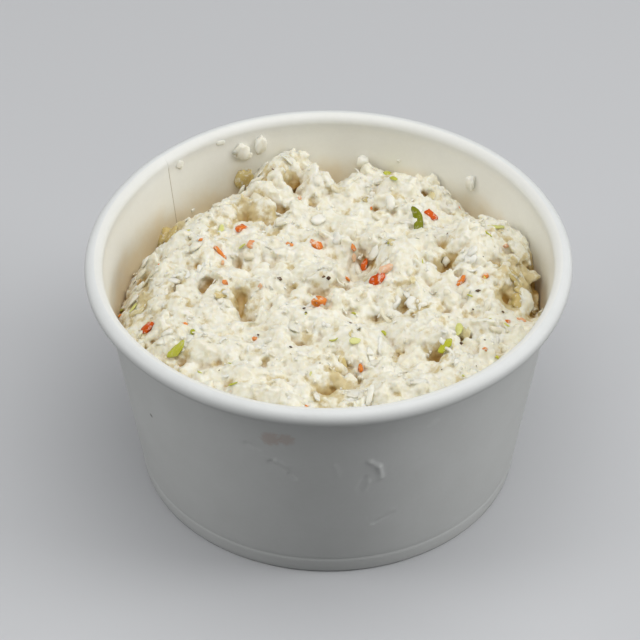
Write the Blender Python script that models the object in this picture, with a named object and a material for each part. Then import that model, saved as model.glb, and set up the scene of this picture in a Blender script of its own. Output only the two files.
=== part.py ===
"""A round white paper food cup filled with finely chopped coleslaw.

Metres, +Z up. The origin is the centre of the foot ring, on the surface the
cup stands on. There are three pieces: the tapered side wall with its rolled
rim and turned-in hem, the recessed bottom disc with its skirt, and the
coleslaw up to its lumpy top. Lengths below are in millimetres, and MM turns
them into metres where the meshes are made.
"""

import math

import bmesh
import bpy
from mathutils import Vector, noise

MM = 0.001
SEGMENTS = 72  # facets round the cup

# Cup: overall sizes, measured outside.
CUP_HEIGHT = 51.6
RIM_RADIUS = 49.0
FOOT_RADIUS = 38.5
WALL_SLOPE = 0.151  # outward growth for each mm of height
PAPER = 0.45  # thickness of the coated board
GAP = 0.3  # clearance kept between neighbouring pieces

# Rolled rim: a hook of paper, open below next to the wall.
BEAD_RADIUS = 1.85
BEAD_STEPS = 11
BEAD_END = -115.0  # degrees, where the curl stops short of the wall

# Foot: the wall turns in and up round the skirt of the bottom disc, and the
# fold is pressed flat underneath.
HEM_HEIGHT = 4.0
FOLD_RADIUS = 0.6
FOLD_STEPS = 3
DISC_UNDERSIDE = 4.3
SKIRT_FOOT = PAPER + GAP

# Coleslaw.
SLAW_RINGS = 19
SLAW_LEVEL = 44.6
SLAW_HIGHEST = 47.0
SLAW_FOOT = DISC_UNDERSIDE + PAPER + GAP

# Lumps and hollows of the top: x, y, radius, rise. A hollow has a negative rise.
SLAW_RELIEF = (
    (-8.5, 34.0, 8.0, 4.0),  # tall lump at the back left
    (12.5, 32.0, 6.5, 1.8),  # two small lumps at the back right
    (22.5, 30.5, 5.5, 2.4),
    (33.0, 5.0, 9.0, 3.0),  # broad lump at the right
    (-26.0, 8.0, 9.0, 1.6),  # ridge along the left
    (-27.0, -13.0, 9.0, 1.0),
    (-8.0, -3.0, 8.0, 1.4),  # centre, either side of the hollow
    (15.0, 8.0, 7.0, 1.3),
    (2.0, -25.0, 11.0, 1.2),  # along the front
    (27.0, -17.0, 8.0, 1.0),
    (-19.0, -27.0, 8.0, 0.8),
    (6.3, 2.4, 4.5, -3.0),  # hollow at the centre
    (-7.2, 30.5, 2.4, -2.2),
    (-12.5, 22.5, 3.4, -2.2),
    (-17.2, -9.1, 3.4, -2.6),  # short trench on the left
    (0.3, -35.8, 3.6, -2.0),
    (20.3, -24.5, 3.6, -1.6),
    (24.5, 20.0, 4.0, -2.2),
    (2.5, 37.0, 4.5, -5.0),  # gaps between the back lumps
    (18.5, 37.0, 3.4, -3.5),
)

# How far the top falls where it meets the wall: azimuth in degrees, fall.
EDGE_FALLS = (
    (-90.0, 0.5),
    (-30.0, 2.0),
    (-6.0, 5.0),
    (10.0, 4.5),
    (20.0, 3.3),
    (28.0, 4.0),
    (36.0, 8.0),
    (44.0, 9.0),
    (52.0, 7.0),
    (60.0, 2.0),
    (70.0, 5.0),
    (79.0, 5.5),
    (88.0, 12.5),
    (95.0, 5.0),
    (102.0, 1.5),
    (109.0, 5.0),
    (116.0, 12.0),
    (126.0, 10.0),
    (138.0, 12.0),
    (150.0, 13.0),
    (164.0, 11.5),
    (180.0, 11.0),
    (205.0, 4.0),
    (235.0, 0.8),
    (270.0, 0.5),
)
EDGE_WIDTH = 12.0
EDGE_MARGIN = 1.5  # the fall is complete this far from the wall

GRAIN_SIZE = 5.5  # spacing of the chopped clumps on the top
GRAIN_RISE = 1.1
GRAIN_OFFSET = Vector((3.7, 9.1, 5.2))


def board(name, colour, roughness):
    """A matt surface of one colour."""
    material = bpy.data.materials.new(name)
    material.use_nodes = True
    shader = material.node_tree.nodes["Principled BSDF"]
    shader.inputs["Base Color"].default_value = (*colour, 1.0)
    shader.inputs["Roughness"].default_value = roughness
    shader.inputs["Metallic"].default_value = 0.0
    return material


def finish(name, bm, material):
    """Closes a bmesh into a named, smooth-shaded object with outward faces."""
    bmesh.ops.remove_doubles(bm, verts=bm.verts, dist=0.00001)
    bmesh.ops.triangulate(bm, faces=bm.faces)
    bmesh.ops.recalc_face_normals(bm, faces=bm.faces)
    mesh = bpy.data.meshes.new(name)
    bm.to_mesh(mesh)
    bm.free()
    mesh.materials.append(material)
    mesh.shade_smooth()
    mesh.set_sharp_from_angle(angle=math.radians(40))
    made = bpy.data.objects.new(name, mesh)
    bpy.context.scene.collection.objects.link(made)
    return made


def turned(name, outline, material):
    """Turns an outline of (radius, height) points round the Z axis.

    An outline that starts and ends on the axis makes a solid disc. Any other
    is joined end to start, and makes a ring.
    """
    bm = bmesh.new()
    points = [bm.verts.new((r * MM, 0.0, z * MM)) for r, z in outline]
    ends = list(zip(points, points[1:]))
    if outline[0][0] > 0.0:
        ends.append((points[-1], points[0]))
    edges = [bm.edges.new(pair) for pair in ends]
    bmesh.ops.spin(
        bm,
        geom=points + edges,
        cent=(0.0, 0.0, 0.0),
        axis=(0.0, 0.0, 1.0),
        angle=math.tau,
        steps=SEGMENTS,
        use_merge=True,
    )
    return finish(name, bm, material)


def arc(radius, height, size, start, end, steps):
    """Points on an arc about (radius, height), from start to end in degrees."""
    for step in range(steps + 1):
        turn = math.radians(start + (end - start) * step / steps)
        yield radius + size * math.cos(turn), height + size * math.sin(turn)


def wall_outside(height):
    return FOOT_RADIUS + WALL_SLOPE * height


def wall_inside(height):
    return wall_outside(height) - PAPER


def cup_wall():
    """Side wall, rolled rim and hem: one strip of board seen end on."""
    bead_height = CUP_HEIGHT - BEAD_RADIUS
    bead_centre = RIM_RADIUS - BEAD_RADIUS
    bead_inner = BEAD_RADIUS - PAPER
    under_bead = bead_height - BEAD_RADIUS - 0.6
    hem_outside = FOOT_RADIUS - 2 * (PAPER + GAP)
    hem_inside = hem_outside - PAPER
    hem_lean = WALL_SLOPE * HEM_HEIGHT
    inner_fold = FOLD_RADIUS - PAPER
    fold_outer = wall_outside(FOLD_RADIUS) - FOLD_RADIUS
    fold_inner = hem_inside + FOLD_RADIUS

    # Outside, upwards: the wall, then the hidden inner face of the curl.
    outline = [(wall_outside(HEM_HEIGHT), HEM_HEIGHT)]
    outline.append((wall_outside(under_bead), under_bead))
    outline += arc(bead_centre, bead_height, bead_inner, 180, BEAD_END, BEAD_STEPS)
    # Back over the top of the curl and down the inside of the wall.
    outline += arc(bead_centre, bead_height, BEAD_RADIUS, BEAD_END, 180, BEAD_STEPS)
    outline.append((wall_inside(HEM_HEIGHT), HEM_HEIGHT))
    # Round inside the fold, up to the hem's edge, and down its inner face.
    outline += arc(fold_outer, FOLD_RADIUS, inner_fold, 0, -90, FOLD_STEPS)
    outline += arc(fold_inner, FOLD_RADIUS, inner_fold, -90, -180, FOLD_STEPS)
    outline.append((hem_outside + hem_lean, HEM_HEIGHT))
    outline.append((hem_inside + hem_lean, HEM_HEIGHT))
    # Under the fold, across the flat that the cup stands on.
    outline += arc(fold_inner, FOLD_RADIUS, FOLD_RADIUS, -180, -90, FOLD_STEPS)
    outline += arc(fold_outer, FOLD_RADIUS, FOLD_RADIUS, -90, 0, FOLD_STEPS)
    return turned("cup_wall", outline, board("white_board", (0.74, 0.75, 0.73), 0.55))


def cup_bottom():
    """Bottom disc whose rim turns down into a skirt inside the fold."""
    top = DISC_UNDERSIDE + PAPER
    foot = wall_inside(SKIRT_FOOT) - GAP
    shoulder = wall_inside(top) - GAP
    outline = [
        (0.0, top),
        (shoulder - PAPER, top),
        (shoulder, top - PAPER),
        (foot, SKIRT_FOOT),
        (foot - PAPER, SKIRT_FOOT),
        (shoulder - 1.4 * PAPER, DISC_UNDERSIDE),
        (0.0, DISC_UNDERSIDE),
    ]
    return turned("cup_bottom", outline, board("inner_board", (0.72, 0.71, 0.66), 0.5))


def edge_fall(azimuth):
    """How far the top falls at the wall, eased between the listed azimuths."""
    azimuth = (azimuth + 90.0) % 360.0 - 90.0
    for (before, low), (after, high) in zip(EDGE_FALLS, EDGE_FALLS[1:]):
        if azimuth <= after:
            share = (azimuth - before) / (after - before)
            return low + (high - low) * share * share * (3 - 2 * share)
    return EDGE_FALLS[-1][1]


def slaw_height(x, y):
    """Height of the top: level, lumps and hollows, clumps, and the fall at the wall."""
    height = SLAW_LEVEL
    for lump_x, lump_y, radius, rise in SLAW_RELIEF:
        distance = math.hypot(x - lump_x, y - lump_y) / radius
        height += rise * math.exp(-distance * distance)
    clump = Vector((x, y, 0.0)) / GRAIN_SIZE + GRAIN_OFFSET
    height += GRAIN_RISE * noise.noise(clump)
    height = min(height, SLAW_HIGHEST)
    reach = wall_inside(SLAW_LEVEL) - EDGE_MARGIN
    near = (math.hypot(x, y) - reach + EDGE_WIDTH) / EDGE_WIDTH
    near = min(max(near, 0.0), 1.0)
    return height - edge_fall(math.degrees(math.atan2(y, x))) * near**1.5


def coleslaw():
    """The filling: a cone frustum that follows the wall, under an uneven top."""
    bm = bmesh.new()
    level_radius = wall_inside(SLAW_LEVEL) - GAP
    foot_radius = wall_inside(SLAW_FOOT) - GAP - PAPER
    rims = []
    for segment in range(SEGMENTS):
        turn = math.tau * segment / SEGMENTS
        rim_height = slaw_height(level_radius * math.cos(turn), level_radius * math.sin(turn))
        rims.append((turn, rim_height, wall_inside(rim_height) - GAP))

    rings = []
    for ring in range(1, SLAW_RINGS + 1):
        share = ring / SLAW_RINGS
        verts = []
        for turn, rim_height, rim_radius in rims:
            x = share * rim_radius * math.cos(turn)
            y = share * rim_radius * math.sin(turn)
            z = rim_height if ring == SLAW_RINGS else slaw_height(x, y)
            verts.append(bm.verts.new((x * MM, y * MM, z * MM)))
        rings.append(verts)
    foot = []
    for turn, _, _ in rims:
        x = foot_radius * math.cos(turn)
        y = foot_radius * math.sin(turn)
        foot.append(bm.verts.new((x * MM, y * MM, SLAW_FOOT * MM)))
    rings.append(foot)

    top = bm.verts.new((0.0, 0.0, slaw_height(0.0, 0.0) * MM))
    under = bm.verts.new((0.0, 0.0, SLAW_FOOT * MM))
    for segment in range(SEGMENTS):
        after = (segment + 1) % SEGMENTS
        bm.faces.new((top, rings[0][segment], rings[0][after]))
        bm.faces.new((under, foot[after], foot[segment]))
        for inner, outer in zip(rings, rings[1:]):
            bm.faces.new((inner[segment], outer[segment], outer[after], inner[after]))
    return finish("coleslaw", bm, board("creamy_slaw", (0.76, 0.70, 0.56), 0.4))


def main():
    for old in list(bpy.data.objects):
        bpy.data.objects.remove(old)
    cup_wall()
    cup_bottom()
    coleslaw()


main()
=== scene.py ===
# Coleslaw in a white paper food cup: the finish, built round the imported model.
# Meshes are worked out in millimetres and put in as metres.
import math

import bpy
import numpy as np
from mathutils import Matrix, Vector
from mathutils.bvhtree import BVHTree


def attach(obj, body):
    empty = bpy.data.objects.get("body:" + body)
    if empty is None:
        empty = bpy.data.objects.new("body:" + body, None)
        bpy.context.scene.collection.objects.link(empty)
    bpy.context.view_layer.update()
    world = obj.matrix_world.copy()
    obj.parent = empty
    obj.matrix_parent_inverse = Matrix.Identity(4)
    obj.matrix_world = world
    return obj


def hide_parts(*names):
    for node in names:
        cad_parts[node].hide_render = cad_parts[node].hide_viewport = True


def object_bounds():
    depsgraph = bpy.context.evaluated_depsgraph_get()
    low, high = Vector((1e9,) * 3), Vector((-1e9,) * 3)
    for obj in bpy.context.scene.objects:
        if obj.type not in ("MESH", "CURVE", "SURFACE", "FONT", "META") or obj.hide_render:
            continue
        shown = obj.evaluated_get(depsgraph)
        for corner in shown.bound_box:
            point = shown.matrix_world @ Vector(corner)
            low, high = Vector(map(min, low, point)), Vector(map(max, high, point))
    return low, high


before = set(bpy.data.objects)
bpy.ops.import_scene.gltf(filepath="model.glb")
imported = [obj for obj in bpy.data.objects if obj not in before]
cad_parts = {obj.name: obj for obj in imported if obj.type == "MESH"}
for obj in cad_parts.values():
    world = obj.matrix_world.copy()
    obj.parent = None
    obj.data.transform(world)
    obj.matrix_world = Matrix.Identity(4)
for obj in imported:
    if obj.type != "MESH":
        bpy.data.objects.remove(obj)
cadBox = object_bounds()
mm = 0.001
rimRadius = cadBox[1].x / mm
cupHeight = cadBox[1].z / mm


# Meshes

def joinedShells(grids, ring=False):
    # Closed surfaces from (count, rows, columns, 3) grids. Each row closes on itself. A ring also
    # joins its last row to its first; any other ends in a point at the middle of each end row.
    count, rows, columns = grids.shape[:3]
    index = np.arange(rows * columns).reshape(rows, columns)
    if ring:
        index = np.vstack([index, index[:1]])
    near, far = index[:-1], index[1:]
    nearNext, farNext = np.roll(near, -1, axis=1), np.roll(far, -1, axis=1)
    faces = [np.stack([near, nearNext, farNext], -1).reshape(-1, 3),
             np.stack([near, farNext, far], -1).reshape(-1, 3)]
    points = grids.reshape(count, rows * columns, 3)
    if not ring:
        tips = grids[:, [0, -1]].mean(axis=2)
        points = np.concatenate([points, tips], axis=1)
        first, last = index[0], index[-1]
        start, end = np.full(columns, rows * columns), np.full(columns, rows * columns + 1)
        faces += [np.stack([start, np.roll(first, -1), first], -1),
                  np.stack([end, last, np.roll(last, -1)], -1)]
    faces = np.concatenate(faces)
    shift = np.arange(count) * points.shape[1]
    return points.reshape(-1, 3), (faces[None] + shift[:, None, None]).reshape(-1, 3)


def outwards(points, faces):
    # The same faces, turned over if the solid's signed volume is negative.
    a, b, c = (points[faces[:, k]] for k in range(3))
    volume = np.einsum("ij,ij->i", a, np.cross(b, c)).sum()
    return faces if volume > 0 else faces[:, ::-1]


def meshFrom(name, points, faces, scale=mm, attributes=None):
    # A mesh of triangles, with one number for each point under each attribute's name.
    mesh = bpy.data.meshes.new(name)
    mesh.vertices.add(len(points))
    mesh.vertices.foreach_set("co", (points * scale).astype(np.float32).ravel())
    mesh.loops.add(faces.size)
    mesh.loops.foreach_set("vertex_index", faces.astype(np.int32).ravel())
    mesh.polygons.add(len(faces))
    mesh.polygons.foreach_set("loop_start", np.arange(0, faces.size, 3, dtype=np.int32))
    mesh.update(calc_edges=True)
    for key, values in (attributes or {}).items():
        layer = mesh.attributes.new(key, "FLOAT", "POINT")
        layer.data.foreach_set("value", np.asarray(values, np.float32).ravel())
    return mesh


def addPiece(name, points, faces, material, replaced=(), attributes=None):
    # A smooth-shaded piece that rides the part's only body and stands for the replaced nodes.
    mesh = meshFrom(name, points, outwards(points, faces), mm, attributes)
    mesh.materials.append(material)
    mesh.shade_smooth()
    piece = bpy.data.objects.new(name, mesh)
    bpy.context.scene.collection.objects.link(piece)
    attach(piece, "root")
    if replaced:
        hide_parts(*replaced)
    print(name, len(faces), "triangles")
    return piece


# Shader maths

class Value:
    # One output of a shader node. Operators on it add Math nodes to the same tree.
    def __init__(self, tree, socket):
        self.tree, self.socket = tree, socket

    def maths(self, operation, *others):
        node = self.tree.nodes.new("ShaderNodeMath")
        node.operation = operation
        for k, other in enumerate(others):
            if isinstance(other, Value):
                self.tree.links.new(other.socket, node.inputs[k])
            else:
                node.inputs[k].default_value = other
        return Value(self.tree, node.outputs[0])

    def __add__(self, other):
        return self.maths("ADD", self, other)

    def __radd__(self, other):
        return self.maths("ADD", other, self)

    def __sub__(self, other):
        return self.maths("SUBTRACT", self, other)

    def __mul__(self, other):
        return self.maths("MULTIPLY", self, other)

    def __rmul__(self, other):
        return self.maths("MULTIPLY", other, self)

    def ramp(self, low, high):
        # 0 below low, 1 above high, eased between them. Low may be the larger.
        node = self.tree.nodes.new("ShaderNodeMapRange")
        node.interpolation_type = "SMOOTHSTEP"
        self.tree.links.new(self.socket, node.inputs["Value"])
        node.inputs["From Min"].default_value = low
        node.inputs["From Max"].default_value = high
        return Value(self.tree, node.outputs["Result"])


def srgb(red, green, blue):
    # A colour as a paint chart gives it, 0 to 255, as the renderer's linear colour.
    def linear(c):
        c /= 255
        return c / 12.92 if c <= 0.04045 else ((c + 0.055) / 1.055) ** 2.4
    return linear(red), linear(green), linear(blue), 1.0


class Finish:
    # A Principled material whose nodes are added by name.
    def __init__(self, name, **constants):
        self.material = bpy.data.materials.new(name)
        self.material.use_nodes = True
        self.tree = self.material.node_tree
        self.shader = self.tree.nodes["Principled BSDF"]
        for key, value in constants.items():
            self.shader.inputs[key.replace("_", " ")].default_value = value
        self.place = self.add("TexCoord", output="Object")

    def add(self, kind, settings=None, output=0, sockets=None, **inputs):
        # One node, and the output asked for. Sockets gives inputs by number, where two share a name.
        node = self.tree.nodes.new("ShaderNode" + kind)
        for key, value in (settings or {}).items():
            setattr(node, key, value)
        for key, value in (sockets or {}).items():
            self.put(node.inputs[key], value)
        for key, value in inputs.items():
            self.put(node.inputs[key.replace("_", " ")], value)
        return Value(self.tree, node.outputs[output])

    def put(self, socket, value):
        if isinstance(value, Value):
            self.tree.links.new(value.socket, socket)
        else:
            socket.default_value = value

    def noise(self, size, detail=2.0, rough=0.5):
        # Smooth random values, 0 to 1, in patches about size millimetres across.
        return self.add("TexNoise", Vector=self.place, Scale=1 / (size * mm), Detail=detail,
                        Roughness=rough)

    def height(self):
        # Millimetres above the table.
        apart = self.add("SeparateXYZ", output="Z", Vector=self.place)
        return apart * (1 / mm)

    def attribute(self, name):
        # A number stored on the mesh's points.
        return self.add("Attribute", {"attribute_name": name}, output="Fac")

    def mix(self, factor, first, second):
        # Colours: first at factor 0, second at factor 1.
        return self.add("Mix", {"data_type": "RGBA"}, 2, {0: factor, 6: first, 7: second})

    def away(self, point):
        # Millimetres from a point.
        gap = self.add("VectorMath", {"operation": "DISTANCE"}, "Value", {0: self.place, 1: point})
        return gap * (1 / mm)

    def relief(self, height, depth, strength=1.0):
        # Bump of a 0 to 1 height, depth millimetres deep.
        bump = self.add("Bump", Height=height, Distance=depth * mm, Strength=strength)
        self.put(self.shader.inputs["Normal"], bump)

    def surface(self, **inputs):
        # Links or sets the shader's own inputs, and ends with the finished material.
        for key, value in inputs.items():
            self.put(self.shader.inputs[key.replace("_", " ")], value)
        return self.material


# Cup

cup = {
    "footRadius": 38.5,  # outside, at the table
    "slope": 0.151,  # outward growth for each mm of height
    "board": 0.45,
    "beadRadius": 1.85,
    "hemHeight": 4.0,
    "foldRadius": 0.6,
    "discUnderside": 4.3,
    "skirtFoot": 0.75,
    "gap": 0.3,
    "seamAt": 137.3,  # degrees round from +X
    "seamLap": 9.0,  # degrees of overlap
    "seamStep": 0.28,
    "seamEdge": 0.08,  # degrees over which a lapped edge steps
    "outOfRound": 0.15,
    "rimWave": 0.12,
    "hemSwell": 0.06,
    "dentScale": 2.0,
    "dentTurns": (244.0, 304.0, 0.5),  # from, to and step of the turns that are fine enough for dents
    "creaseDepth": 0.07,  # pressed line where the hem ends
    "creaseWidth": 0.45,
}
# Small dents and scratches on the outside: azimuth and height of both ends, width, depth.
dents = (
    (-105.0, 33.4, -101.6, 31.2, 0.55, 0.16),
    (-103.6, 34.0, -100.6, 32.6, 0.45, -0.12),
    (-100.2, 30.6, -98.9, 29.4, 0.5, 0.14),
    (-111.4, 37.6, -108.2, 36.6, 0.5, 0.10),
    (-79.6, 34.3, -77.0, 32.4, 0.5, -0.15),
    (-77.0, 32.4, -76.0, 29.0, 0.5, -0.17),
    (-76.4, 29.0, -79.3, 27.4, 0.45, -0.10),
    (-80.6, 29.6, -82.0, 26.4, 0.5, 0.08),
    (-79.4, 28.4, -80.4, 25.6, 0.4, -0.08),
    (-88.6, 33.6, -87.6, 30.6, 0.6, -0.07),
    (-77.4, 15.0, -71.8, 17.0, 0.28, 0.14),
)
# Spots on the outside: azimuth and height, radius, colour, strength.
spots = (
    (-71.9, 18.1, 0.8, (232, 234, 232), 0.9),
    (-62.3, 41.8, 1.3, (236, 238, 236), 0.5),
    (-64.0, 41.2, 0.9, (236, 238, 236), 0.4),
    (-145.0, 30.2, 0.7, (96, 90, 80), 0.7),
    # The last two are a painted reddish reflection just under the front rim.
    (-104.6, 40.6, 2.6, (198, 160, 138), 0.35),
    (-100.8, 41.0, 2.2, (198, 160, 138), 0.30),
)


def wallOutside(height):
    # Radius of the wall's outer face: foot radius + slope height.
    return cup["footRadius"] + cup["slope"] * height


def wallInside(height):
    # Radius of the wall's inner face: the outer one less the board.
    return wallOutside(height) - cup["board"]


def arcPoints(radius, height, size, start, end, steps):
    # radius + size cos t, height + size sin t
    turn = np.radians(np.linspace(start, end, steps))
    return np.column_stack([radius + size * np.cos(turn), height + size * np.sin(turn)])


def linePoints(side, low, high, steps):
    # A wall's side, as a function of height, at even steps without the two ends.
    heights = np.linspace(low, high, steps + 2)[1:-1]
    return np.column_stack([side(heights), heights])


def smooth(value, low, high):
    # Share s^2 (3 - 2s), where s goes from 0 at low to 1 at high.
    share = np.clip((value - low) / (high - low), 0, 1)
    return share * share * (3 - 2 * share)


def turnedGrid(profile, turns):
    # radius cos t, radius sin t, height, for each profile point and each turn
    turn = np.radians(turns)
    radius, height = profile[:, :1], profile[:, 1:]
    return np.stack([radius * np.cos(turn), radius * np.sin(turn), height + 0 * turn], -1)


def wallProfile():
    # The board seen end on, closed: up the outside, round the curl, down the inside, round the fold.
    # The last column says where each point is: 1 outside, -1 inside, 0 on the curl and the fold.
    radius, board, fold, gap = (cup[k] for k in ("beadRadius", "board", "foldRadius", "gap"))
    centre, level = rimRadius - radius, cupHeight - radius
    hem = cup["hemHeight"]
    foldOuter = wallOutside(fold) - fold
    hemOutside = cup["footRadius"] - 2 * (board + gap)
    foldInner = hemOutside - board + fold
    lean = cup["slope"] * hem
    runs = (
        (1, linePoints(wallOutside, fold, hem - 0.7, 4)),
        (1, linePoints(wallOutside, hem - 0.8, hem + 0.9, 9)),
        (1, linePoints(wallOutside, hem + 0.8, level - radius, 84)),
        (0, arcPoints(centre, level, radius - board, 180, -118, 18)),
        (0, arcPoints(centre, level, radius - board / 2, -121, -121, 1)),
        (0, arcPoints(centre, level, radius, -118, 180, 34)),
        (-1, linePoints(wallInside, level - 0.3, hem, 40)),
        (0, arcPoints(foldOuter, fold, fold - board, 0, -90, 4)),
        (0, arcPoints(foldInner, fold, fold - board, -90, -180, 4)),
        (0, np.array([[hemOutside + lean, hem], [hemOutside - board + lean, hem]])),
        (0, arcPoints(foldInner, fold, fold, -180, -90, 6)),
        (0, arcPoints(foldOuter, fold, fold, -90, 0, 6)),
    )
    return np.vstack([np.column_stack([run, np.full(len(run), side)]) for side, run in runs])


def dentDepths(turns, heights):
    # Sum over the dents of depth exp(-(distance to the dent's line / width)^2).
    total = np.zeros((len(heights), len(turns)))
    girth = 0.92 * rimRadius  # the wall's radius at the dents, for distances round it
    across = np.radians(turns)[None] * girth
    up = heights[:, None]
    for fromTurn, fromHeight, toTurn, toHeight, width, depth in dents:
        start = np.array([math.radians(fromTurn % 360) * girth, fromHeight])
        end = np.array([math.radians(toTurn % 360) * girth, toHeight])
        line = end - start
        share = np.clip(((across - start[0]) * line[0] + (up - start[1]) * line[1]) / (line @ line), 0, 1)
        distance = np.hypot(across - start[0] - share * line[0], up - start[1] - share * line[1])
        total += cup["dentScale"] * depth * (1 - 0.5 * share) * np.exp(-(distance / width) ** 2)
    return total


def cupWall(material):
    # The board's profile turned about the axis, each point moved out by the sum of the offsets below.
    seam, lap, step, edge, hem = (cup[k] for k in ("seamAt", "seamLap", "seamStep", "seamEdge", "hemHeight"))
    edges = np.array([-0.3, -0.12, -0.04, 0.04, 0.12, 0.3])
    turns = np.unique(np.concatenate([
        np.linspace(0, 360, 240, endpoint=False), np.arange(*cup["dentTurns"]),
        seam + edges, seam + lap + edges]))
    profile = wallProfile()
    heights, side = profile[:, 1], profile[:, 2][:, None]
    grid = turnedGrid(profile[:, :2], turns)
    # The board's two ends overlap at the seam: the inner end steps in, the outer end steps out.
    innerLap = smooth(turns, seam - edge, seam + edge)
    innerLap = innerLap * (1 - smooth(turns, seam + lap - 2, seam + lap + 5))
    outerLap = smooth(turns, seam - 5, seam + 2)
    outerLap = outerLap * (1 - smooth(turns, seam + lap - edge, seam + lap + edge))
    onCurl = (heights > cupHeight - 2.05 * cup["beadRadius"])[:, None]
    offset = np.where(side > 0, step * outerLap, 0) - np.where(side < 0, step * innerLap, 0)
    offset = offset + np.where(onCurl & (side == 0), 0.10 * innerLap, 0)
    # The whole wall is a little out of round, the free part above the hem most of all.
    free = smooth(heights, hem, 25)[:, None]
    turn = np.radians(turns)[None]
    wave = np.sin(2 * turn + 0.6) + 0.35 * np.sin(5 * turn + heights[:, None] / 14)
    wave = wave + 0.25 * np.sin(9 * turn + 1.0)
    offset = offset + cup["outOfRound"] * free * wave
    pressed = np.exp(-((heights - hem) / cup["creaseWidth"]) ** 2)[:, None]
    offset = offset - np.where(side > 0, cup["creaseDepth"] * pressed, 0)
    below = 1 - smooth(heights, hem - 0.4, hem + 0.4)[:, None]
    offset = offset + np.where(side > 0, cup["hemSwell"] * below * smooth(heights, 0.6, 1.2)[:, None], 0)
    offset = offset - np.where(side > 0, dentDepths(turns, heights), 0)
    radius = np.hypot(grid[..., 0], grid[..., 1])
    grid[..., :2] *= ((radius + offset) / radius)[..., None]
    grid[..., 2] += np.where(onCurl, cup["rimWave"] * (np.sin(3 * turn + 2.0) - 0.5), 0)
    points, faces = joinedShells(grid[None], ring=True)
    curlInside = onCurl & (profile[:, :1] < rimRadius - cup["beadRadius"])
    inner = np.where(side < 0, 1.0, np.where(curlInside, 0.6, 0.0))
    rawEdge = (np.abs(turns - seam) < 0.13) & (side < 0)
    spread = np.ones(len(turns))
    return addPiece("cupWall", points, faces, material, ["cup_wall"],
                    {"inner": inner * spread, "rawEdge": rawEdge * spread})


def cupBottom(material):
    # The disc sags a little at the middle and turns down into a rounded skirt.
    board, under, gap = cup["board"], cup["discUnderside"], cup["gap"]
    top, foot = under + board, cup["skirtFoot"]
    shoulder = wallInside(top) - gap
    skirt = wallInside(foot) - gap
    out = np.linspace(0.2, shoulder - 1.6, 26)
    sag = -0.35 * (1 - (out / shoulder) ** 2)
    bend = 1.1
    profile = np.vstack([
        np.column_stack([out, top + sag]),
        arcPoints(shoulder - bend, top - bend, bend, 90, 0, 9),
        [[skirt, foot], [skirt - board, foot]],
        arcPoints(shoulder - bend, top - bend, bend - board, 0, 90, 7),
        np.column_stack([out, under + sag])[::-1]])
    grid = turnedGrid(profile, np.linspace(0, 360, 180, endpoint=False))
    points, faces = joinedShells(grid[None])
    return addPiece("cupBottom", points, faces, material, ["cup_bottom"],
                    {"inner": np.zeros(len(points)), "rawEdge": np.zeros(len(points))})


def boardFinish():
    # White coated board: warm inside, cooler outside, faint fibre clouds, a tan raw edge at the seam. The
    # outside set greyer and the inside lighter are painted shade and painted light.
    finish = Finish("whiteBoard", IOR=1.48)
    cloud = finish.noise(9, 3)
    fibre = finish.noise(0.8, 4, 0.6)
    inner = finish.attribute("inner")
    # Painted shade and light: the outside is greyer and the inside lighter than the white board, over their
    # own cool and warm tints.
    outside = finish.mix(cloud, srgb(224, 226, 224), srgb(234, 236, 235))
    inside = finish.mix(cloud, srgb(242, 241, 232), srgb(246, 245, 239))
    # Partly a dressing stain, partly painted shade and painted warm reflection from the coleslaw: the inside
    # turns tan below about 43 mm.
    stainAndPaintedShade = (finish.height() + finish.noise(6, 3) * 8 - 4).ramp(43, 34)
    inside = finish.mix(stainAndPaintedShade * 0.6, inside, srgb(228, 200, 146))
    colour = finish.mix(inner, outside, inside)
    colour = finish.mix((fibre - 0.5) * 0.16 + 0.04, colour, srgb(205, 203, 194))
    colour = finish.mix(finish.attribute("rawEdge"), colour, srgb(140, 118, 74))
    # The spots are scuffs and a speck, and two of them a painted reddish reflection.
    for azimuth, height, size, paint, strength in spots:
        turn, radius = math.radians(azimuth), wallOutside(height) * mm
        point = (radius * math.cos(turn), radius * math.sin(turn), height * mm)
        near = (finish.away(point) + (fibre - 0.5) * size).ramp(size, size * 0.4)
        colour = finish.mix(near * strength, colour, srgb(*paint))
    finish.relief(fibre * 0.6 + finish.noise(3.5, 3) * 0.6, 0.05, 0.6)
    return finish.surface(Base_Color=colour, Roughness=0.42 + 0.16 * finish.noise(5, 3))


# Coleslaw

slaw = {
    "seed": 41,
    "coatVoxel": 0.33,
    "coatTriangles": 190000,
    "softening": 2,
    "buried": {  # pieces under the dressing: count, size, stations and sides, depth of their centres
        "chunks": (900, (4.2, 3.4, 2.6), (4, 7), (0.1, 2.6)),
        "chips": (3600, (2.4, 1.8, 1.4), (4, 6), (-0.5, 1.3)),
        "slivers": (650, (2.8, 0.9, 0.6), (6, 5), (-0.2, 1.0)),
        "grit": (4200, (1.15, 0.9, 0.7), (3, 5), (-0.6, 0.4)),
    },
    "lumps": ((12.0, 1.5), (5.0, 1.0)),  # size and rise of the lumps in the top
    # rounded clumps: how many, and the width and depth of the creases between them
    "clods": ((95, 3.2, 2.2), (330, 2.0, 1.2)),
    "pits": 80,  # small random pits, besides the named ones
    "rag": ((0.9, 0.22), (0.45, 0.08)),  # size and depth of the skin's own roughness
}


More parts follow.
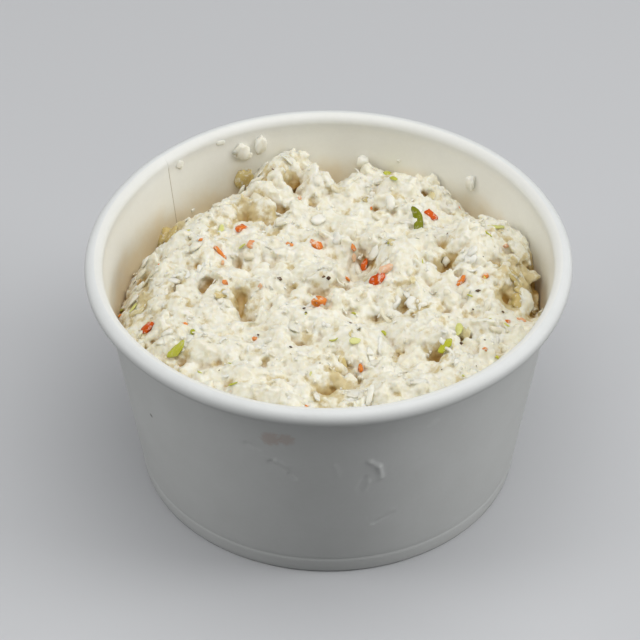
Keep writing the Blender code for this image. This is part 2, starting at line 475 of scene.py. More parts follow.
def castTop(step=1.2):
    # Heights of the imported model's top on a square grid, read by rays from above. Beyond the edge
    # it repeats the height just inside.
    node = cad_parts["coleslaw"]
    tree = BVHTree.FromObject(node, bpy.context.evaluated_depsgraph_get())
    reach = wallInside(cupHeight)
    axis = np.arange(-reach, reach + step, step)
    heights = np.zeros((len(axis), len(axis)))
    down, above = Vector((0, 0, -1)), 0.2
    for row, y in enumerate(axis):
        for column, x in enumerate(axis):
            for level in (36, 33, 30):  # the lower the top lies at the wall, the nearer its edge
                pull = min(1.0, (wallInside(level) - 0.7) / max(math.hypot(x, y), 0.1))
                hit = tree.ray_cast(Vector((x * pull * mm, y * pull * mm, above)), down)[0]
                if hit:
                    break
            heights[row, column] = hit.z / mm
    return axis[0], step, heights


def readGrid(grid, x, y):
    # Bilinear reading of a (start, step, values) square grid.
    start, step, values = grid
    column = np.clip((x - start) / step, 0, values.shape[1] - 1.001)
    row = np.clip((y - start) / step, 0, values.shape[0] - 1.001)
    c, r = column.astype(int), row.astype(int)
    u, v = column - c, row - r
    low = values[r, c] * (1 - u) + values[r, c + 1] * u
    high = values[r + 1, c] * (1 - u) + values[r + 1, c + 1] * u
    return low * (1 - v) + high * v


# Pits in the top: x, y, half-length, half-width, turn in degrees, depth.
pits = (
    (6.3, 2.6, 5.6, 3.4, 70, 3.8),
    (3.4, -2.0, 2.6, 1.6, 30, 2.4),
    (-7.2, 31.0, 2.0, 1.6, 80, 4.2),
    (-12.0, 22.8, 3.6, 1.5, 150, 2.8),
    (-17.4, 19.4, 2.6, 1.4, 30, 2.2),
    (-11.2, 12.4, 2.4, 0.9, 160, 2.2),
    (-17.2, -9.6, 4.6, 1.6, 110, 3.4),
    (-18.6, 4.6, 2.2, 1.0, 100, 2.2),
    (0.3, -35.0, 3.2, 1.8, 5, 3.4),
    (21.0, -25.0, 2.6, 1.6, 20, 2.8),
    (24.2, 3.2, 3.4, 2.0, 40, 2.6),
    (31.4, 6.6, 2.0, 0.7, 110, 2.2),
    (25.4, 20.4, 1.8, 1.2, 10, 2.2),
    (19.8, 27.6, 1.7, 1.3, 80, 2.8),
    (15.2, -8.4, 2.6, 1.6, 60, 2.2),
    (26.6, -9.0, 2.0, 0.8, 100, 2.2),
    (23.6, 9.8, 2.6, 1.6, 60, 2.4),
    (-24.6, -2.0, 2.0, 1.2, 20, 1.8),
    (-5.6, -21.0, 2.6, 1.0, 10, 1.6),
    (12.0, -20.0, 2.2, 1.1, 150, 1.6),
    (-31.0, -5.0, 2.4, 1.1, 60, 1.8),
    (9.6, 22.0, 2.2, 1.0, 120, 1.8),
    (42.0, -2.0, 9.0, 2.6, 88, 6.0),
    (37.0, -7.0, 3.4, 1.6, 75, 2.6),
    (19.3, 37.0, 2.6, 1.2, 80, 3.0),
    (2.8, 37.5, 3.2, 2.2, 90, 3.0),
    (-1.0, 14.0, 3.0, 1.6, 30, 1.6),
    (-28.0, 2.0, 2.6, 1.2, 120, 1.8),
)
# Where bare wet cabbage shows: x, y, reach, strength.
wetPatches = (
    (40.5, -3.0, 7.0, 1.0), (36.0, -9.0, 5.0, 0.8), (-32.0, 15.0, 5.0, 0.8), (-17.5, 20.0, 4.0, 0.9),
    (-22.5, 14.0, 3.5, 0.6), (-10.0, 37.0, 5.0, 0.6), (-36.0, -8.0, 6.0, 0.6), (16.0, -9.0, 3.5, 0.7),
    (13.5, 33.0, 3.5, 0.6), (36.5, 12.0, 4.0, 0.5), (0.5, -35.5, 4.5, 0.9), (-12.0, 22.0, 3.0, 0.8),
    (24.0, 3.0, 3.5, 0.7), (-17.5, -9.5, 3.5, 0.8), (22.0, -26.0, 4.0, 0.7), (-31.0, -24.0, 4.0, 0.5),
)


def randomPits(rng, count):
    # More pits of the same kind, small and scattered.
    x, y = discPlaces(rng, count, wallInside(40) - 2)
    size = lengths(rng, count, (0.9, 0.6, 1.5), 0.35)
    return np.column_stack([x, y, size[:, 0], size[:, 1], rng.uniform(0, 180, count), size[:, 2]])


def pitDepth(holes, x, y):
    # The deepest of the pits there: depth exp(-(ellipse distance)^4), flat inside and steep at the edge.
    deepest = np.zeros(np.shape(x))
    for pitX, pitY, halfLength, halfWidth, turn, depth in holes:
        c, s = math.cos(math.radians(turn)), math.sin(math.radians(turn))
        along = ((x - pitX) * c + (y - pitY) * s) / halfLength
        across = ((y - pitY) * c - (x - pitX) * s) / halfWidth
        deepest = np.maximum(deepest, depth * np.exp(-(along ** 2 + across ** 2) ** 2))
    return deepest


def creases(rng, x, y, count, wide):
    # 1 along the borders between clods, falling to 0 over wide millimetres: 1 - (second nearest
    # centre's distance - nearest one's) / wide, with the centres scattered.
    centreX, centreY = discPlaces(rng, count, rimRadius + 2)
    near = np.full(x.shape, 1e9)
    second = np.full(x.shape, 1e9)
    for cx, cy in zip(centreX, centreY):
        away = np.hypot(x - cx, y - cy)
        second = np.minimum(second, np.maximum(near, away))
        near = np.minimum(near, away)
    return np.clip(1 - (second - near) / wide, 0, 1) ** 1.5


def patches(rng, x, y, size, start):
    # Smooth random values about 0, in patches of the given size: random knots read between and blurred.
    knots = rng.normal(0, 1, (int(-2 * start / size) + 4,) * 2)
    return blurred((start, 0.5, readGrid((start - size, size, knots), x, y)), 6)[2]


def slidToTop(grid, x, y, level=46.6):
    # Places are given on a level plane and slid along the view's slope to where it meets the top:
    # y = given y - (height - level) / tan(elevation), found by repeated halving towards it.
    given, slope = y, math.tan(math.radians(view["elevation"]))
    for _ in range(12):
        y = 0.5 * y + 0.5 * (given - (readGrid(grid, x, y) - level) / slope)
    return y


def lumpyTop(rng, top, cell=0.5):
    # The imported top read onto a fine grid, with lumps added and the creases and pits taken out.
    start = top[0]
    axis = np.arange(start, -start, cell)
    x, y = np.meshgrid(axis, axis)
    heights = readGrid(top, x, y)
    calm = 1 - smooth(np.hypot(x, y), 36, 44) * 0.6
    for size, rise in slaw["lumps"]:
        heights += rise * patches(rng, x, y, size, start) * calm
    furrows = np.zeros(x.shape)
    for count, wide, depth in slaw["clods"]:
        strength = np.clip(0.6 + 0.6 * patches(rng, x, y, 7.0, start), 0, 1.3)
        furrows = np.maximum(furrows, depth * strength * creases(rng, x, y, count, wide))
    named = np.array(pits)
    named[:, 1] = slidToTop(blurred((start, cell, heights), 6), named[:, 0], named[:, 1])
    holes = np.vstack([named, randomPits(rng, slaw["pits"])])
    return start, cell, heights - furrows - pitDepth(holes, x, y)


def choppedShapes(rng, sizes, stations, sides, square=4.0, ends=6.0, bend=0.0, twist=0.0, rough=0.06):
    # A rounded box carried along a bent, twisted spine. At share s of the half length the section's
    # half size is (1 - |s|^ends)^(1/ends), and the section is the superellipse |y|^square + |z|^square = 1.
    count = len(sizes)
    length, width, thick = (sizes[:, k].reshape(-1, 1, 1) / 2 for k in range(3))
    s = np.sin(np.linspace(-1, 1, stations) * 1.45)[None, :, None]
    t = ((np.arange(sides) + 0.5) * 2 * np.pi / sides)[None, None, :]
    grow = (1 - np.abs(s) ** ends) ** (1 / ends)
    y = width * grow * np.sign(np.cos(t)) * np.abs(np.cos(t)) ** (2 / square)
    z = thick * grow * np.sign(np.sin(t)) * np.abs(np.sin(t)) ** (2 / square)
    wobble = rng.normal(0, rough, (3, count, stations, sides))
    y, z = y * (1 + wobble[0]) + wobble[1] * thick, z * (1 + wobble[2]) + 0 * y
    turn = twist * rng.uniform(-1, 1, (count, 1, 1)) * s
    y, z = y * np.cos(turn) - z * np.sin(turn), y * np.sin(turn) + z * np.cos(turn)
    arc = bend * rng.uniform(0.2, 1, (count, 1, 1)) + 0.001
    grids = np.empty((count, stations, sides, 3))
    grids[..., 0] = length * np.sin(arc * s) / arc - y * np.sin(arc * s)
    grids[..., 1] = length * (1 - np.cos(arc * s)) / arc + y * np.cos(arc * s)
    grids[..., 2] = z
    return grids


def turnedShapes(grids, heading, pitch, roll, slopes=None):
    # Each grid rolled, pitched and headed by its own angles. With slopes it also leans with the
    # ground: z grows by slopeX x + slopeY y.
    ch, sh, cp, sp, cr, sr = (f(a) for a in (heading, pitch, roll) for f in (np.cos, np.sin))
    matrix = np.array([
        [ch * cp, ch * sp * sr - sh * cr, ch * sp * cr + sh * sr],
        [sh * cp, sh * sp * sr + ch * cr, sh * sp * cr - ch * sr],
        [-sp, cp * sr, cp * cr]]).transpose(2, 0, 1)
    grids = np.einsum("nij,nrcj->nrci", matrix, grids)
    if slopes is not None:
        lean = slopes[0][:, None, None] * grids[..., 0] + slopes[1][:, None, None] * grids[..., 1]
        grids[..., 2] += np.clip(lean, -2, 2)
    return grids


def tumbled(rng, grids, tilt, slopes):
    # Random headings, with pitch and roll of about tilt radians.
    count = len(grids)
    pitch, roll = rng.normal(0, tilt, (2, count))
    return turnedShapes(grids, rng.uniform(0, 2 * np.pi, count), pitch, roll, slopes)


def placed(grids, x, y, z, clearance=0.12):
    # Grids moved to their places, then drawn in towards the axis until they clear the wall.
    grids = grids + np.stack([x, y, z], -1)[:, None, None, :]
    radius = np.hypot(grids[..., 0], grids[..., 1])
    over = (radius - (wallInside(grids[..., 2]) - clearance)).max(axis=(1, 2))
    away = np.stack([x, y], -1) / np.maximum(np.hypot(x, y), 0.1)[:, None]
    grids[..., :2] -= (np.maximum(over, 0)[:, None] * away)[:, None, None, :]
    return grids


def discPlaces(rng, count, reach):
    # Random places in a disc, even by area.
    radius = reach * np.sqrt(rng.uniform(0, 1, count))
    turn = rng.uniform(0, 2 * np.pi, count)
    return radius * np.cos(turn), radius * np.sin(turn)


def lengths(rng, count, middle, spread):
    # Log-normal sizes about middle: (count, 3) for three middles.
    return np.array(middle) * np.exp(rng.normal(0, spread, (count, len(middle))))


def coreShell(top, drop, foot, rows=46, columns=140):
    # Closed body under the top: out along the top less drop, down the wall, and in along the foot.
    turns = np.linspace(0, 2 * np.pi, columns, endpoint=False)
    out = np.linspace(0.01, 1, rows)[:, None]
    edge = wallInside(readGrid(top, 40 * np.cos(turns), 40 * np.sin(turns)) - drop) - 0.25
    x, y = out * edge * np.cos(turns), out * edge * np.sin(turns)
    upper = np.stack([x, y, readGrid(top, x, y) - drop], -1)
    footRadius = wallInside(foot) - 0.8
    radii = np.array([1.0, 0.6, 0.01])[:, None] * footRadius
    lower = np.stack([radii * np.cos(turns), radii * np.sin(turns), foot + 0 * radii * turns], -1)
    return np.concatenate([upper, lower])[None]


def pointsOf(mesh):
    places = np.empty(len(mesh.vertices) * 3)
    mesh.vertices.foreach_get("co", places)
    return places.reshape(-1, 3)


def withModifiers(body):
    # The mesh that the body's modifiers make of it. The body itself goes.
    mesh = bpy.data.meshes.new_from_object(body.evaluated_get(bpy.context.evaluated_depsgraph_get()))
    bpy.data.objects.remove(body)
    return mesh


def merged(points, faces, voxel, triangles, hiddenBelow):
    # Closed bodies welded into one skin by a voxel remesh, softened and roughened, then thinned to a
    # number of triangles, with what lies deep under the top thinned first.
    mesh = meshFrom("blend", points, faces, 1.0)
    blend = bpy.data.objects.new("blend", mesh)
    bpy.context.scene.collection.objects.link(blend)
    weld = blend.modifiers.new("weld", "REMESH")
    weld.mode, weld.voxel_size = "VOXEL", voxel
    soften = blend.modifiers.new("soften", "SMOOTH")
    soften.factor, soften.iterations = 0.5, slaw["softening"]
    for size, depth in slaw["rag"]:
        rag = bpy.data.textures.new("rag", "CLOUDS")
        rag.noise_scale, rag.noise_depth = size, 1
        roughen = blend.modifiers.new("roughen", "DISPLACE")
        roughen.texture, roughen.texture_coords = rag, "GLOBAL"
        roughen.strength, roughen.mid_level = depth * 2, 0.5
    skin = withModifiers(blend)
    quads = len(skin.polygons)
    for choosy in (True, False):  # first what is hidden, then all of it evenly
        skinned = bpy.data.objects.new("skin", skin)
        bpy.context.scene.collection.objects.link(skinned)
        thin = skinned.modifiers.new("thin", "DECIMATE")
        thin.use_collapse_triangulate = True
        skin.calc_loop_triangles()
        thin.ratio = min(1.0, triangles / len(skin.loop_triangles))
        if choosy:
            x, y, z = pointsOf(skin).T
            hidden = z < hiddenBelow(x, y)
            group = skinned.vertex_groups.new(name="hidden")
            group.add(np.flatnonzero(hidden).tolist(), 1.0, "REPLACE")
            thin.vertex_group, thin.vertex_group_factor = "hidden", 50
        skin = withModifiers(skinned)
    skin.calc_loop_triangles()
    corners = np.empty(len(skin.loop_triangles) * 3, np.int32)
    skin.loop_triangles.foreach_get("vertices", corners)
    print("blend", quads, "quads, thinned to", len(corners) // 3, "triangles")
    return pointsOf(skin), corners.reshape(-1, 3)


def topGrid(points, cell=0.6):
    # Highest point in each cell of a square grid, with empty cells filled from their neighbours.
    reach = rimRadius
    count = int(2 * reach / cell) + 1
    column = ((points[:, 0] + reach) / cell).astype(int)
    row = ((points[:, 1] + reach) / cell).astype(int)
    values = np.full((count, count), -1.0)
    np.maximum.at(values, (row, column), points[:, 2])
    for _ in range(30):
        around = np.max([np.roll(values, move, axis) for move in (-1, 1) for axis in (0, 1)], axis=0)
        values = np.where(values < 0, around, values)
    return -reach, cell, values


def blurred(grid, times):
    # Each cell the mean of itself and its four neighbours, itself counted twice, over and over.
    start, cell, values = grid
    for _ in range(times):
        values = sum(np.roll(values, move, axis) for move in (-1, 0, 1) for axis in (0, 1)) / 6
    return start, cell, values


def slopesAt(grid, x, y, reach=0.8):
    # Rise over run along x and along y, between points reach either side.
    along = readGrid(grid, x + reach, y) - readGrid(grid, x - reach, y)
    across = readGrid(grid, x, y + reach) - readGrid(grid, x, y - reach)
    return np.clip(along / (2 * reach), -1.5, 1.5), np.clip(across / (2 * reach), -1.5, 1.5)


def depthUnder(grid, points):
    # How deep a point lies under the blurred top, 0 to 1: 0 at 0.4 mm above it, 1 at 2.6 mm below.
    # The slaw finishes paint ochre shade by this depth.
    return np.clip((readGrid(grid, points[:, 0], points[:, 1]) - points[:, 2] + 0.4) / 3.0, 0, 1)


def wetness(upper, points):
    # The strongest of the wet patches there: strength exp(-(distance / reach)^2).
    wet = np.zeros(len(points))
    for x, y, reach, strength in wetPatches:
        y = slidToTop(upper, np.array([x]), np.array([y]))
        away = np.hypot(points[:, 0] - x, points[:, 1] - y)
        wet = np.maximum(wet, strength * np.exp(-(away / reach) ** 2))
    return wet


def slawBody(top, finish):
    # Chopped cabbage sunk in dressing, over the core: one skin.
    rng = np.random.default_rng(slaw["seed"])
    pitted = lumpyTop(rng, top)
    buried = []
    for count, size, shape, depths in slaw["buried"].values():
        x, y = discPlaces(rng, count, wallInside(40) - 0.6)
        grids = choppedShapes(rng, lengths(rng, count, size, 0.32), *shape, bend=0.6, twist=0.5, rough=0.10)
        grids = tumbled(rng, grids, 0.45, slopesAt(pitted, x, y, 1.5))
        z = readGrid(pitted, x, y) - rng.uniform(*depths, count)
        buried.append(joinedShells(placed(grids, x, y, z)))
    buried.append(joinedShells(coreShell(pitted, 0.7, 30.0)))
    points = np.vstack([each[0] for each in buried])
    shifts = np.cumsum([0] + [len(each[0]) for each in buried[:-1]])
    faces = np.vstack([outwards(*each) + shift for each, shift in zip(buried, shifts)])
    points, faces = merged(points, faces, slaw["coatVoxel"], slaw["coatTriangles"],
                           lambda a, b: readGrid(pitted, a, b) - 3.5)
    radius = np.hypot(points[:, 0], points[:, 1])
    points[:, :2] *= np.minimum(1, (wallInside(points[:, 2]) - 0.06) / np.maximum(radius, 1))[:, None]
    upper = topGrid(points)
    shade = blurred(upper, 14)
    addPiece("slawBody", points, faces, finish, ["coleslaw"],
             {"depth": depthUnder(shade, points), "tone": np.full(len(points), 0.5),
              "wet": wetness(upper, points)})
    return upper, shade


def scatter(name, kind, upper, shade, material, seed, chosen):
    # Pieces of one kind laid on the top and partly sunk into it: the chosen ones first, each a row of
    # x, y, length, width, thickness, heading and pitch in degrees and tone, then more at random.
    rng, count = np.random.default_rng(seed), kind["count"]
    rows = np.array(chosen, float).reshape(-1, 8)
    x, y = discPlaces(rng, count, wallInside(42) - 0.4)
    x, y = np.append(rows[:, 0], x), np.append(slidToTop(blurred(upper, 2), rows[:, 0], rows[:, 1]), y)
    sizes = np.vstack([rows[:, 2:5], lengths(rng, count, kind["size"], kind["spread"])])
    heading = np.append(np.radians(rows[:, 5]), rng.uniform(0, 2 * np.pi, count))
    tone = np.append(rows[:, 7], rng.uniform(*kind.get("tone", (0, 1)), count))
    total = len(x)
    grids = choppedShapes(rng, sizes, kind["stations"], kind["sides"], kind["square"], kind["ends"],
                          kind["bend"], kind["twist"], kind["rough"])
    tilt = np.where(np.arange(total) < len(rows), 0.15, kind["tilt"])
    pitch, roll = rng.normal(0, 1, (2, total)) * tilt
    pitch[:len(rows)] -= np.radians(rows[:, 6])
    grids = turnedShapes(grids, heading, pitch, roll, slopesAt(shade, x, y))
    share = np.append(np.full(len(rows), kind["lift"][1]), rng.uniform(*kind["lift"], count))
    grids = placed(grids, x, y, readGrid(blurred(upper, 1), x, y) + sizes[:, 2] * share)
    points, faces = joinedShells(grids)
    return addPiece(name, points, faces, material, (),
                    {"depth": depthUnder(shade, points), "tone": np.repeat(tone, len(points) // total)})


# Lift is how high above the top a piece's middle lies, in shares of its thickness.
kinds = {
    "dice": {
        "count": 120, "size": (2.1, 1.5, 0.9), "spread": 0.28, "stations": 4, "sides": 8, "square": 4,
        "ends": 6, "bend": 0.3, "twist": 0.3, "rough": 0.12, "tilt": 0.4, "lift": (-0.6, 0.0)},
    "shreds": {
        "count": 45, "size": (2.8, 0.6, 0.4), "spread": 0.30, "stations": 8, "sides": 6, "square": 3,
        "ends": 5, "bend": 1.1, "twist": 0.8, "rough": 0.14, "tilt": 0.3, "lift": (-0.7, 0.0)},
    "clear": {
        "count": 22, "size": (2.6, 1.8, 0.6), "spread": 0.25, "stations": 5, "sides": 8, "square": 4,
        "ends": 6, "bend": 0.6, "twist": 0.5, "rough": 0.19, "tilt": 0.4, "lift": (-0.9, -0.35)},
    "crumbs": {
        "count": 420, "size": (0.8, 0.6, 0.45), "spread": 0.35, "stations": 3, "sides": 5, "square": 3,
        "ends": 4, "bend": 0.3, "twist": 0.2, "rough": 0.16, "tilt": 0.6, "lift": (-0.4, 0.3)},
    "carrot": {
        "count": 22, "size": (0.9, 0.7, 0.6), "spread": 0.30, "stations": 5, "sides": 8, "square": 4,
        "ends": 5, "bend": 0.4, "twist": 0.4, "rough": 0.20, "tilt": 0.4, "lift": (-0.5, -0.2),
        "tone": (0.4, 1)},
    "green": {
        "count": 26, "size": (1.1, 0.5, 0.3), "spread": 0.35, "stations": 9, "sides": 8, "square": 2.5,
        "ends": 2.2, "bend": 0.8, "twist": 0.5, "rough": 0.12, "tilt": 0.4, "lift": (-0.4, 0.3),
        "tone": (0.5, 1)},
    "speck": {
        "count": 18, "size": (0.45, 0.3, 0.25), "spread": 0.30, "stations": 3, "sides": 6, "square": 3,
        "ends": 3, "bend": 0.2, "twist": 0.3, "rough": 0.15, "tilt": 0.4, "lift": (-0.2, 0.2),
        "tone": (0, 1)},
}
# The bits that stand out: x, y, length, width, thickness, heading, pitch, tone (0 deep, 1 veiled).
carrotBits = (
    (9.8, -1.7, 3.2, 2.3, 1.8, 30, 0, 0.0), (7.4, 3.0, 1.7, 1.2, 1.0, 80, 0, 0.15),
    (11.5, 1.2, 3.2, 1.4, 1.0, 20, 0, 0.9), (-2.6, 8.9, 2.6, 2.0, 1.4, 170, 0, 0.35),
    (-2.0, -8.7, 3.0, 2.4, 1.5, 20, 0, 0.5), (-18.0, 14.5, 2.5, 1.8, 1.3, 40, 0, 0.25),
    (-15.8, 9.2, 1.9, 1.4, 1.0, 70, 0, 0.7), (-22.0, 6.6, 3.0, 0.9, 0.8, 150, 15, 0.45),
    (-20.8, -3.0, 1.1, 0.8, 0.7, 0, 0, 0.6), (-7.9, 9.2, 1.7, 0.9, 0.7, 160, 0, 0.6),
    (-5.9, 24.4, 1.4, 0.7, 0.6, 100, 0, 0.8), (-36.3, -17.0, 2.5, 2.1, 1.6, 40, 0, 0.05),
    (21.3, 19.0, 3.0, 1.8, 1.3, 130, 0, 0.1), (26.8, -2.3, 2.4, 1.0, 0.8, 50, 0, 0.4),
    (31.7, -0.7, 1.2, 1.0, 0.8, 0, 0, 0.5), (35.5, -14.7, 1.9, 0.9, 0.8, 150, 0, 0.3),
    (39.0, -14.7, 2.6, 1.3, 1.0, 20, 0, 0.75), (6.3, -29.0, 1.9, 0.8, 0.7, 95, 0, 0.4),
    (3.7, -1.5, 1.2, 1.0, 0.7, 0, 0, 0.5), (-29.0, -16.0, 2.0, 0.8, 0.6, 20, 0, 0.6),
)
greenBits = (
    (18.6, 16.0, 7.4, 2.1, 0.45, 97, 40, 0.05), (12.6, 33.0, 3.2, 2.2, 0.7, 60, 20, 0.55),
    (13.6, 30.4, 2.6, 1.2, 0.5, 120, 0, 0.6), (-27.0, -18.4, 1.6, 1.0, 0.5, 90, 0, 0.35),
    (-30.2, -24.3, 4.2, 1.6, 0.5, 10, 10, 0.6), (-39.5, -11.0, 2.5, 1.2, 0.5, 60, 0, 0.8),
    (23.0, -22.8, 3.2, 1.9, 0.6, 35, 0, 0.45), (25.9, -17.8, 3.8, 1.5, 0.6, 85, 0, 0.8),
    (5.2, -21.2, 2.3, 1.5, 0.3, 10, 0, 1.0), (1.0, -21.0, 2.0, 0.35, 0.3, 10, 0, 0.7),
    (34.6, 14.5, 4.2, 1.2, 0.5, 30, 10, 0.8), (-22.0, 14.0, 3.2, 1.1, 0.5, 80, 0, 0.85),
)
darkSpecks = (
    (-4.9, -11.2, 0.8, 0.6, 0.4, 0, 0, 0.1), (-4.5, -12.6, 0.7, 0.6, 0.4, 60, 0, 0.0),
    (-7.5, -23.0, 0.7, 0.5, 0.4, 0, 0, 0.3), (0.0, -1.9, 0.9, 0.6, 0.4, 10, 0, 0.1),
    (-1.0, -1.5, 0.7, 0.4, 0.4, 0, 0, 0.6), (-9.7, -2.1, 1.4, 0.8, 0.5, 10, 0, 0.4),
    (4.3, -15.5, 1.3, 0.35, 0.3, 5, 0, 0.5), (-16.6, 24.7, 1.1, 0.8, 0.5, 0, 0, 0.0),
    (30.0, -5.7, 1.1, 0.6, 0.4, 10, 0, 0.3), (35.0, -12.2, 0.6, 0.5, 0.4, 0, 0, 0.2),
    (26.2, -21.9, 0.9, 0.5, 0.4, 20, 0, 0.2), (-14.1, -19.4, 0.7, 0.5, 0.4, 0, 0, 0.3),
)
clearBits = (
    (-32.7, 13.0, 3.4, 2.6, 1.2, 100, 0, 0.0), (-35.8, 8.5, 2.8, 2.0, 1.0, 60, 0, 0.2),
    (37.6, -0.8, 3.2, 2.4, 1.2, 90, 0, 0.1), (38.8, -5.0, 3.0, 2.4, 1.2, 80, 0, 0.2),
    (38.0, -8.6, 2.8, 2.0, 1.0, 100, 0, 0.0), (-17.2, 38.4, 4.0, 3.0, 1.6, 20, 0, 0.1),
    (-32.6, 24.8, 4.6, 3.2, 1.8, 140, 0, 0.1), (-26.7, 14.2, 3.8, 3.2, 1.8, 20, 0, 1.0),
)


def slawFinish(name, light, middle, wet, deep, **constants):
    # Cabbage in dressing: clouds of cream, patches where bare wet cabbage shows, and painted warm ochre
    # shade where it lies deep.
    finish = Finish(name, IOR=1.42, **constants)
    tone, depth = finish.attribute("tone"), finish.attribute("depth")
    cloud = finish.noise(1.3, 3)
    colour = finish.mix((tone * 0.6 + cloud * 0.9 - 0.25).ramp(0.15, 0.75), middle, light)
    # The depth term also strengthens the wet colour in hollows: painted shade.
    patch = finish.noise(3.0, 4, 0.6) + (depth - 0.3) * 0.25 + finish.attribute("wet") * 0.26
    colour = finish.mix(patch.ramp(0.53, 0.70) * 0.85, colour, wet)
    # Painted shade: the colour turns ochre the deeper a point lies under the blurred top.
    colour = finish.mix(depth.ramp(0.30, 0.90) * 0.85, colour, deep)
    finish.relief(finish.noise(0.35, 3, 0.6) * 0.7 + finish.noise(1.1, 2), 0.07, 0.5)
    rough = 0.34 + 0.22 * finish.noise(2.2, 2)
    return finish.surface(Base_Color=colour, Roughness=rough)


# Bits stuck to the inside of the wall: azimuth, height, width, length up the wall, thickness, turn in
# degrees, tone.
stuckBits = (
    (119.9, 49.4, 2.2, 1.1, 0.5, 10, 0.9),
    (114.1, 46.0, 3.4, 3.2, 1.5, 30, 0.7),
    (112.4, 44.6, 1.6, 1.8, 1.0, 70, 0.5),
    (108.6, 46.6, 2.6, 3.5, 1.3, 10, 0.8),
    (133.2, 48.6, 2.0, 1.8, 0.5, 50, 1.0),
    (80.3, 41.4, 2.5, 2.5, 1.8, 5, 1.0),
    (47.9, 43.7, 2.0, 3.1, 1.1, 0, 0.9),
    (131.0, 36.5, 0.9, 0.7, 0.5, 0, 0.6),
    (70.5, 42.6, 0.6, 0.5, 0.4, 0, 0.8),
)
stuckClear = (
    (114.2, 39.6, 4.0, 3.6, 2.0, 20, 0.15),
    (142.8, 34.6, 4.6, 4.2, 2.2, 130, 0.15),
)


def onWall(name, rows, material, seed, proud=0.42):
    # Flat pieces against the inner wall: width along it, length up it, thickness inwards. Their middles
    # stand off the wall by proud times the thickness.
    rng = np.random.default_rng(seed)
    azimuth, height, width, rise, thick, turn, tone = np.array(rows, float).T
    grids = choppedShapes(rng, np.column_stack([width, rise, thick]), stations=7, sides=10, square=4,
                          ends=4, bend=0.2, twist=0.3, rough=0.15)
    a, t = np.radians(azimuth), np.radians(turn)
    slope = cup["slope"]
    along = np.stack([-np.sin(a), np.cos(a), 0 * a], -1)
    up = np.stack([slope * np.cos(a), slope * np.sin(a), 0 * a + 1], -1) / math.hypot(1, slope)
    inward = -np.cross(along, up)
    first = along * np.cos(t)[:, None] + up * np.sin(t)[:, None]
    second = up * np.cos(t)[:, None] - along * np.sin(t)[:, None]
    radius = wallInside(height) - thick * proud
    centre = np.stack([radius * np.cos(a), radius * np.sin(a), height], -1)
    axes = np.stack([first, second, inward], 1)
    grids = np.einsum("nrci,nij->nrcj", grids, axes) + centre[:, None, None, :]
    points, faces = joinedShells(grids)
    each = len(points) // len(rows)
    return addPiece(name, points, faces, material, (),
                    {"depth": np.zeros(len(points)), "tone": np.repeat(tone, each)})


def bitFinish(name, deep, middle, veiled, film, **constants):
    # Vegetable bits: colour by tone, mottled, and filmed with dressing here and there.
    finish = Finish(name, IOR=1.42, **constants)
    tone = finish.attribute("tone") + (finish.noise(0.6, 3) - 0.5) * 0.35
    colour = finish.mix(tone.ramp(0.0, 0.5), deep, middle)
    colour = finish.mix(tone.ramp(0.5, 1.0), colour, veiled)
    cream = finish.noise(0.9, 4, 0.65).ramp(0.52, 0.66)
    colour = finish.mix(cream * film, colour, srgb(236, 230, 214))
    finish.relief(finish.noise(0.3, 3), 0.08, 0.6)
    return finish.surface(Base_Color=colour, Roughness=0.38 + 0.2 * finish.noise(1.0, 2))


# Set

# Degrees and millimetres: the camera's target lies aside along x and back along y of the axis.
view = {"elevation": 40.45, "distance": 759.0, "field": 10.0, "aside": -1.72, "back": 9.7}
lights = {
    "key": {"at": (0.08, -0.05, 0.75), "size": 0.85, "power": 3.95},
    "right": {"at": (0.72, -0.06, 0.35), "size": 0.4, "power": 2.1},
    "left": {"at": (-0.72, -0.06, 0.38), "size": 0.4, "power": 1.6},
}
paleGround = srgb(200, 201, 203)


def addCamera():
    # Looks at the target from the front, elevation degrees above level, at the given distance.
    lens = bpy.data.cameras.new("camera")
    lens.sensor_width = 36
    lens.lens = 18 / math.tan(math.radians(view["field"] / 2))
    lens.clip_start, lens.clip_end = 0.01, 20
    camera = bpy.data.objects.new("camera", lens)
    tilt = math.radians(view["elevation"])
    away = view["distance"] * mm
    target = Vector((view["aside"] * mm, view["back"] * mm, cupHeight * mm / 2))
    camera.location = target + Vector((0, -math.cos(tilt), math.sin(tilt))) * away
    camera.rotation_euler = (math.pi / 2 - tilt, 0, 0)
    bpy.context.scene.collection.objects.link(camera)
    bpy.context.scene.camera = camera


def addLights():
    # Round area lamps, each turned to the middle of the foot.
    for name, light in lights.items():
        lamp = bpy.data.lights.new(name, "AREA")
        lamp.shape, lamp.size, lamp.energy = "DISK", light["size"], light["power"]
        source = bpy.data.objects.new(name, lamp)
        source.location = light["at"]
        source.rotation_euler = (-Vector(light["at"])).to_track_quat("-Z", "Y").to_euler()
        bpy.context.scene.collection.objects.link(source)


def cameraMix(tree, unseen, seen, surface):
    # The seen shader for the camera's own rays, and the unseen one for every other ray.
    path, mix = tree.nodes.new("ShaderNodeLightPath"), tree.nodes.new("ShaderNodeMixShader")
    tree.links.new(path.outputs["Is Camera Ray"], mix.inputs[0])
    tree.links.new(unseen.outputs[0], mix.inputs[1])
    tree.links.new(seen.outputs[0], mix.inputs[2])
    tree.links.new(mix.outputs[0], surface)


def addWorld():
    # Soft grey light all round; seen directly it is the pale ground's colour.
    world = bpy.data.worlds.new("softWorld")
    world.use_nodes = True
    bpy.context.scene.world = world
    tree = world.node_tree
    background = tree.nodes["Background"]
    background.inputs["Color"].default_value = (0.96, 0.98, 1.0, 1)
    background.inputs["Strength"].default_value = 0.19
    seen = tree.nodes.new("ShaderNodeBackground")
    seen.inputs["Color"].default_value = paleGround
    cameraMix(tree, background, seen, tree.nodes["World Output"].inputs["Surface"])


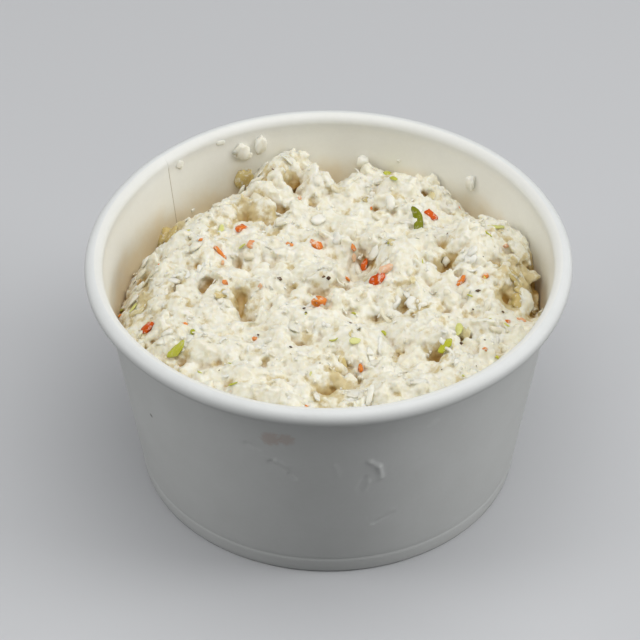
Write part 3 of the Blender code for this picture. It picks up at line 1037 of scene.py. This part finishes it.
def addFloor():
    # A wide plain ground, pale to the eye but darker to light that bounces off it.
    turns = np.linspace(0, 360, 64, endpoint=False)
    radii = np.array([[1.0, 0.0], [200, 0], [3000, 0], [3000, -5], [1.0, -5]])
    points, faces = joinedShells(turnedGrid(radii, turns)[None])
    mesh = meshFrom("ground", points, outwards(points, faces), mm)
    ground = bpy.data.objects.new("ground", mesh)
    bpy.context.scene.collection.objects.link(ground)
    finish = Finish("paleGround", Roughness=0.9)
    tree = finish.tree
    dim = tree.nodes.new("ShaderNodeBsdfDiffuse")
    dim.inputs["Color"].default_value = (0.22, 0.22, 0.22, 1)
    cameraMix(tree, dim, finish.shader, tree.nodes["Material Output"].inputs["Surface"])
    finish.surface(Base_Color=paleGround)
    mesh.materials.append(finish.material)


board = boardFinish()
cupWall(board)
cupBottom(board)

# The fourth colour of each slaw finish is the painted ochre shade for points deep in the top.
cream = slawFinish("creamySlaw", srgb(243, 241, 229), srgb(232, 225, 197), srgb(209, 190, 136),
                   srgb(176, 134, 48), Subsurface_Weight=0.6, Subsurface_Radius=(1.0, 0.9, 0.7),
                   Subsurface_Scale=0.0010, Coat_Weight=0.12, Coat_Roughness=0.25)
loose = slawFinish("looseCabbage", srgb(243, 241, 230), srgb(233, 226, 202), srgb(214, 200, 150),
                   srgb(180, 146, 74), Subsurface_Weight=0.35, Subsurface_Radius=(1.0, 0.9, 0.8),
                   Subsurface_Scale=0.0005, Coat_Weight=0.12, Coat_Roughness=0.25)
glassy = bitFinish("clearCabbage", srgb(206, 184, 118), srgb(220, 206, 156), srgb(238, 235, 218), 0.8,
                   Subsurface_Weight=0.5, Subsurface_Radius=(1.0, 0.9, 0.6), Subsurface_Scale=0.0008,
                   Coat_Weight=0.1)
orange = bitFinish("carrot", srgb(214, 84, 0), srgb(236, 142, 62), srgb(238, 200, 166), 0.7,
                   Subsurface_Weight=0.4, Subsurface_Radius=(1.0, 0.6, 0.3), Subsurface_Scale=0.0006,
                   Specular_IOR_Level=0.25)
green = bitFinish("greens", srgb(120, 124, 0), srgb(190, 192, 54), srgb(224, 224, 152), 0.25,
                  Specular_IOR_Level=0.25)
dark = bitFinish("darkSpeck", srgb(70, 44, 20), srgb(104, 78, 44), srgb(146, 112, 74), 0.3)
top = castTop()
upper, shade = slawBody(top, cream)
plan = (  # name, kind, finish, chosen rows
    ("cabbageDice", "dice", loose, ()),
    ("cabbageShreds", "shreds", loose, ()),
    ("cabbageClear", "clear", glassy, clearBits),
    ("cabbageCrumbs", "crumbs", loose, ()),
    ("carrotBits", "carrot", orange, carrotBits),
    ("greenBits", "green", green, greenBits),
    ("darkSpecks", "speck", dark, darkSpecks),
)
for order, (name, kind, material, chosen) in enumerate(plan):
    scatter(name, kinds[kind], upper, shade, material, slaw["seed"] + 1 + order, chosen)
onWall("stuckBits", stuckBits, loose, slaw["seed"] + 20)
onWall("stuckClear", stuckClear, glassy, slaw["seed"] + 21)

addCamera()
addLights()
addWorld()
addFloor()
print("camera, lights, world and ground are in")
bpy.context.scene.view_settings.view_transform = "Standard"
